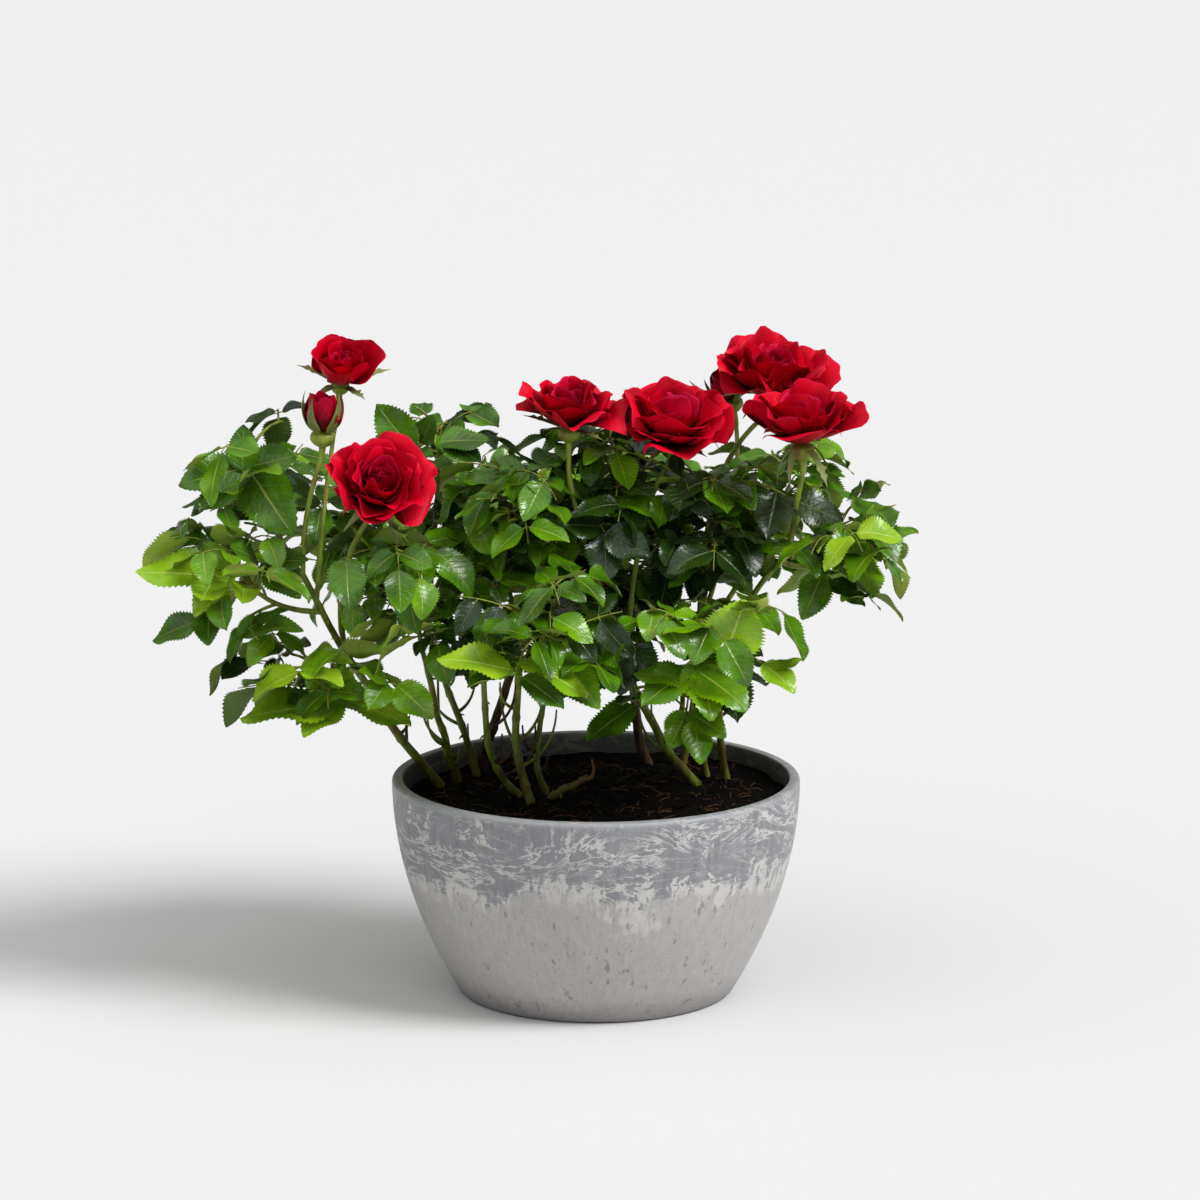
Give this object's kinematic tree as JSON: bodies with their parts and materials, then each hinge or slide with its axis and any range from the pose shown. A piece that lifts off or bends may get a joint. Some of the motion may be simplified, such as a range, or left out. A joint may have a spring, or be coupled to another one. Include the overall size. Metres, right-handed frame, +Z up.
{
  "type": "potted rose bush",
  "caption": "Small rose bush in a round marbled grey bowl: upright canes, compound serrated leaves, open red double roses and buds over dark soil.",
  "frame": {"origin": "centre of the bowl's flat underside, on the ground", "axes": "+Z up; -Y is the side the bush is mostly seen from; +X to that viewer's right"},
  "size_m": [0.374, 0.227, 0.3216],
  "materials": {
    "pot": "satin, marbled in two greys",
    "soil": "crumbly, matt",
    "green_wood": "smooth green bark",
    "old_wood": "rough brown bark",
    "leaves": "waxy, semi-gloss",
    "petals": "velvety"
  },
  "bodies": {
    "root": {"pot": "pot", "soil": "soil", "cane_left_outer": "green_wood", "cane_left_inner": "green_wood", "cane_left_wood": "old_wood", "cane_left_back": "green_wood", "cane_mid_bent": "green_wood", "cane_mid_main": "green_wood", "cane_mid_right": "green_wood", "cane_right_main": "green_wood", "cane_right_wood": "old_wood", "cane_right_up": "green_wood", "cane_right_outer": "green_wood", "cane_right_back": "green_wood", "bough_left_low": "green_wood", "bough_right_fork": "green_wood", "cut_stub": "green_wood", "stalk_rose_left_high": "green_wood", "rose_left_high": "petals", "stalk_rose_left_low": "green_wood", "rose_left_low": "petals", "stalk_rose_mid_left": "green_wood", "rose_mid_left": "petals", "stalk_rose_mid_right": "green_wood", "rose_mid_right": "petals", "stalk_rose_back": "green_wood", "rose_back": "petals", "stalk_rose_right": "green_wood", "rose_right": "petals", "stalk_bud_left": "green_wood", "bud_left": "petals", "stalk_bud_right": "green_wood", "bud_right": "petals", "leaves_left_high": "leaves", "leaves_left_far": "leaves", "leaves_left_low": "leaves", "leaves_left_heart": "leaves", "leaves_left_front": "leaves", "leaves_left_top": "leaves", "leaves_mid_left": "leaves", "leaves_mid_front": "leaves", "leaves_mid_top": "leaves", "leaves_mid_low": "leaves", "leaves_back_left": "leaves", "leaves_back_right": "leaves", "leaves_right_front": "leaves", "leaves_right_heart": "leaves", "leaves_right_far": "leaves", "leaves_right_back": "leaves"}
  },
  "joints": []
}
